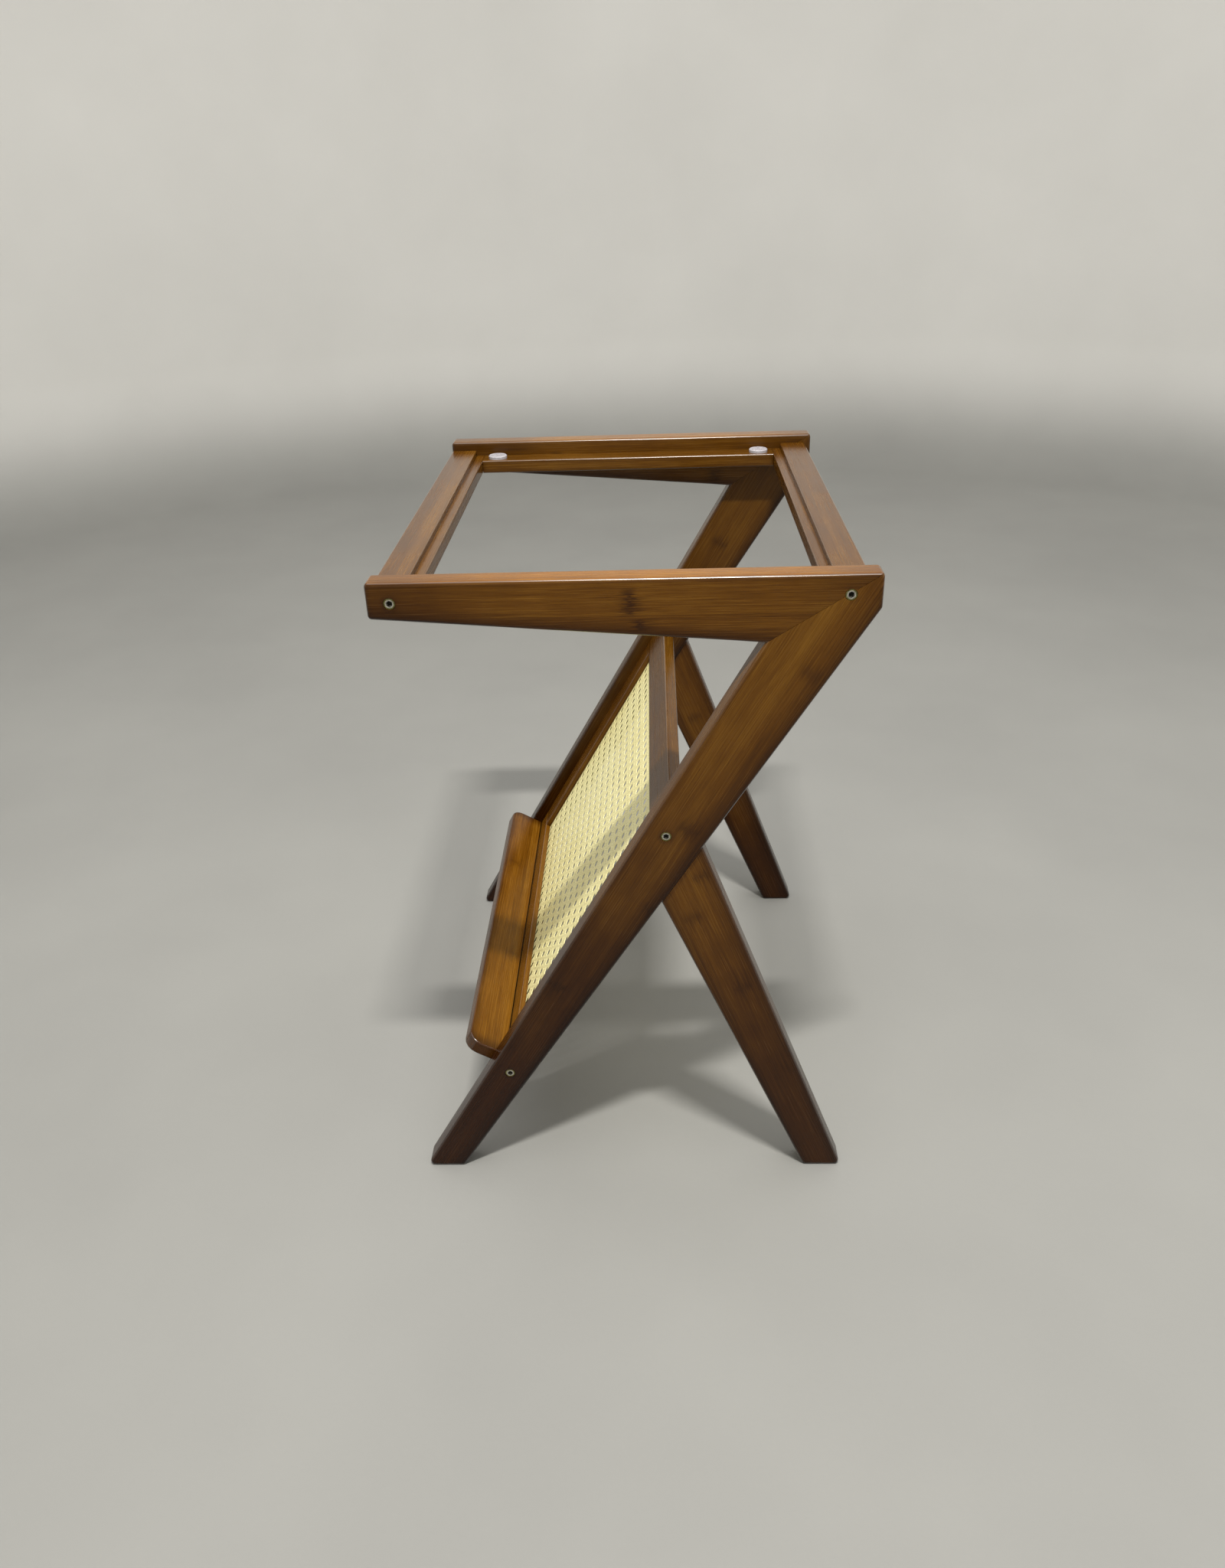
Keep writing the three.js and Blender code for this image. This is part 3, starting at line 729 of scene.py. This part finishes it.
def strand_mesh(name, strands, panel):
    """One mesh of many strands, turned from panel coordinates to the table's frame."""
    vertices = []
    faces = []
    for strand_vertices, strand_faces in strands:
        base = len(vertices)
        vertices.extend(strand_vertices)
        faces.extend(tuple(base + i for i in face) for face in strand_faces)
    middle = panel.thickness / 2
    placed = [
        panel.corner + ACROSS * across + RACK_UP * up + RACK_BACK * (middle - height)
        for across, up, height in vertices
    ]
    mesh = bpy.data.meshes.new(name)
    mesh.from_pydata(placed, [], faces)
    mesh.validate()
    outward = bmesh.new()
    outward.from_mesh(mesh)
    bmesh.ops.recalc_face_normals(outward, faces=outward.faces)
    outward.to_mesh(mesh)
    outward.free()
    for face in mesh.polygons:
        face.use_smooth = len(face.vertices) == 4
    return mesh


def add_strands(name, strands, panel, material):
    mesh = strand_mesh(name, strands, panel)
    mesh.materials.append(material)
    piece = bpy.data.objects.new(name, mesh)
    bpy.context.scene.collection.objects.link(piece)
    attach(piece, "root")
    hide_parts("rack_lattice_sheet")


def steps(length, step):
    """Places from 0 to a length, evenly spaced and no further apart than a step."""
    count = math.ceil(length / step)
    return [length * k / count for k in range(count + 1)]


def pair_places(hole, pitch, length):
    """(place, turn) of both strands of each pair that fits between 0 and a length."""
    start = hole + pitch / 2
    margin = STRAND_WIDTH / 2 + PAIR_SPACING / 2
    first = math.ceil((margin - start) / pitch)
    last = math.floor((length - margin - start) / pitch)
    return [
        (start + k * pitch + turn * PAIR_SPACING / 2, turn)
        for k in range(first, last + 1)
        for turn in (-1, 1)
    ]


def strands_across(panel):
    lift = LIFT_SHARE * (panel.thickness - STRAND_THICKNESS)
    strands = []
    for up, turn in pair_places(panel.hole_up, PITCH_UP, panel.height):
        points = []
        for across in steps(panel.width, PITCH_ACROSS / STEPS_PER_CELL):
            phase = 2 * math.pi * (across - panel.hole_across) / PITCH_ACROSS
            points.append((across, up, turn * lift * math.sin(phase)))
        strands.append(ribbon(points, (0, 1), STRAND_WIDTH))
    return strands


def strands_upright(panel):
    lift = LIFT_SHARE * (panel.thickness - STRAND_THICKNESS)
    strands = []
    for across, turn in pair_places(panel.hole_across, PITCH_ACROSS, panel.width):
        points = []
        for up in steps(panel.height, PITCH_UP / STEPS_PER_CELL):
            phase = 2 * math.pi * (up - panel.hole_up) / PITCH_UP
            points.append((across, up, -turn * lift * math.sin(phase)))
        strands.append(ribbon(points, (1, 0), STRAND_WIDTH))
    return strands


def diagonal_points(panel, start, slope, lean):
    """Points of one diagonal, which is at start where it is level with the lowest holes."""
    dip = DIP_SHARE * (panel.thickness - STRAND_THICKNESS)
    low, high = sorted(
        start + (edge - panel.hole_up) / slope
        for edge in (DIAGONAL_WIDTH, panel.height - DIAGONAL_WIDTH)
    )
    low = max(low, DIAGONAL_WIDTH)
    high = min(high, panel.width - DIAGONAL_WIDTH)
    if high - low < PITCH_ACROSS / 2:
        return []
    points = []
    for step in steps(high - low, PITCH_ACROSS / STEPS_PER_CELL):
        across = low + step
        up = panel.hole_up + (across - start) * slope
        phase = 2 * math.pi * (across - start) / PITCH_ACROSS
        points.append((across, up, lean * dip * math.cos(phase)))
    return points


def diagonal_strands(panel, lean):
    """Strands halfway between the holes. They rise to the left for lean 1, fall for -1."""
    slope = lean * PITCH_UP / PITCH_ACROSS
    cell = math.hypot(PITCH_ACROSS, PITCH_UP)
    width_way = (-lean * PITCH_UP / cell, PITCH_ACROSS / cell)
    first = -math.ceil((panel.width + panel.height) / PITCH_ACROSS)
    strands = []
    for k in range(first, -first):
        start = panel.hole_across + (k + 0.5) * PITCH_ACROSS
        points = diagonal_points(panel, start, slope, lean)
        if points:
            strands.append(ribbon(points, width_way, DIAGONAL_WIDTH))
    return strands


def make_cane(material):
    panel = measure_panel()
    add_strands("cane_strands_across", strands_across(panel), panel, material)
    add_strands("cane_strands_upright", strands_upright(panel), panel, material)
    add_strands("cane_strands_rising", diagonal_strands(panel, 1), panel, material)
    add_strands("cane_strands_falling", diagonal_strands(panel, -1), panel, material)


# ---- floor and round wall ----
FLOOR_RINGS = (0.8, 1.6)
WALL_RADIUS = 2.6
WALL_HEIGHT = 3.0
COVE_RADIUS = 0.3
COVE_STEPS = 8
TURN_STEPS = 72
FLOOR_PAINT = ((0.27, 0.27, 0.257, 1), (0.30, 0.30, 0.285, 1))
WALL_PAINT = ((0.66, 0.655, 0.63, 1), (0.70, 0.695, 0.67, 1))


def stage_profile():
    """Radius and height along the floor, up the cove and up the wall."""
    cove_start = WALL_RADIUS - COVE_RADIUS
    profile = [(radius, 0.0) for radius in (*FLOOR_RINGS, cove_start)]
    for k in range(1, COVE_STEPS + 1):
        angle = math.pi / 2 * k / COVE_STEPS
        profile.append((
            cove_start + COVE_RADIUS * math.sin(angle),
            COVE_RADIUS - COVE_RADIUS * math.cos(angle),
        ))
    return profile + [(WALL_RADIUS, WALL_HEIGHT)]


def stage_paint():
    g = Graph("pale_paint")
    cloud = g.noise(g.position, 2.5, 3.0)
    floor_paint = g.ramp(cloud, (0.3, FLOOR_PAINT[0]), (0.7, FLOOR_PAINT[1]))
    wall_paint = g.ramp(cloud, (0.3, WALL_PAINT[0]), (0.7, WALL_PAINT[1]))
    rise = g.span(g.dot(g.position, UP), 0.0, COVE_RADIUS)
    g.set(Base_Color=g.mix(rise, floor_paint, wall_paint))
    g.set(Roughness=0.75)
    g.set(Normal=g.bump(g.noise(g.position, 220.0, 3.0), 0.4 * MM, 0.3))
    return g.material


def make_stage():
    profile = stage_profile()
    vertices = [(0.0, 0.0, 0.0)]
    for radius, height in profile:
        for k in range(TURN_STEPS):
            angle = 2 * math.pi * k / TURN_STEPS
            vertices.append((radius * math.cos(angle), radius * math.sin(angle), height))
    faces = []
    for k in range(TURN_STEPS):
        beside = (k + 1) % TURN_STEPS
        faces.append((0, 1 + k, 1 + beside))
        for ring in range(1, len(profile)):
            outer = 1 + ring * TURN_STEPS
            inner = outer - TURN_STEPS
            faces.append((inner + k, outer + k, outer + beside, inner + beside))
    mesh = bpy.data.meshes.new("studio_sweep")
    mesh.from_pydata(vertices, [], faces)
    for face in mesh.polygons:
        face.use_smooth = True
    mesh.materials.append(stage_paint())
    sweep = bpy.data.objects.new("studio_sweep", mesh)
    bpy.context.scene.collection.objects.link(sweep)


# ---- lights ----
LIT_MIDDLE = Vector((0, 0, 0.3))
KEY_WAY = Vector((0.05, -0.44, 1.0)).normalized()
KEY_DISTANCE = 2.6
KEY_SIZE = (0.35, 0.08)
KEY_POWER = 66
KEY_COLOUR = (1.0, 0.97, 0.92)
CEILING_PLACE = Vector((0, 0, 2.4))
CEILING_SIZE = (3.0, 2.4)
CEILING_POWER = 46
CEILING_COLOUR = (1.0, 0.98, 0.95)
SKY_COLOUR = (0.92, 0.95, 1.0, 1)
SKY_STRENGTH = 0.12


def area_light(name, place, target, size, power, colour):
    data = bpy.data.lights.new(name, "AREA")
    data.shape = "RECTANGLE"
    data.size, data.size_y = size
    data.energy = power
    data.color = colour
    light = bpy.data.objects.new(name, data)
    bpy.context.scene.collection.objects.link(light)
    light.location = place
    light.rotation_mode = "QUATERNION"
    light.rotation_quaternion = (target - place).to_track_quat("-Z", "Y")


def make_sky():
    world = bpy.data.worlds.new("world")
    bpy.context.scene.world = world
    world.use_nodes = True
    background = world.node_tree.nodes["Background"]
    background.inputs["Color"].default_value = SKY_COLOUR
    background.inputs["Strength"].default_value = SKY_STRENGTH


def make_lights():
    key_place = LIT_MIDDLE + KEY_WAY * KEY_DISTANCE
    area_light("key", key_place, LIT_MIDDLE, KEY_SIZE, KEY_POWER, KEY_COLOUR)
    floor_middle = Vector((0, 0, 0))
    area_light("ceiling", CEILING_PLACE, floor_middle, CEILING_SIZE, CEILING_POWER, CEILING_COLOUR)
    make_sky()


make_camera()
make_stage()
make_lights()
bpy.context.scene.view_settings.view_transform = "Standard"
dress_wood()
cane_material = cane_plastic()
dress_small_parts(cane_material)
smooth_round_edges()
make_cane(cane_material)
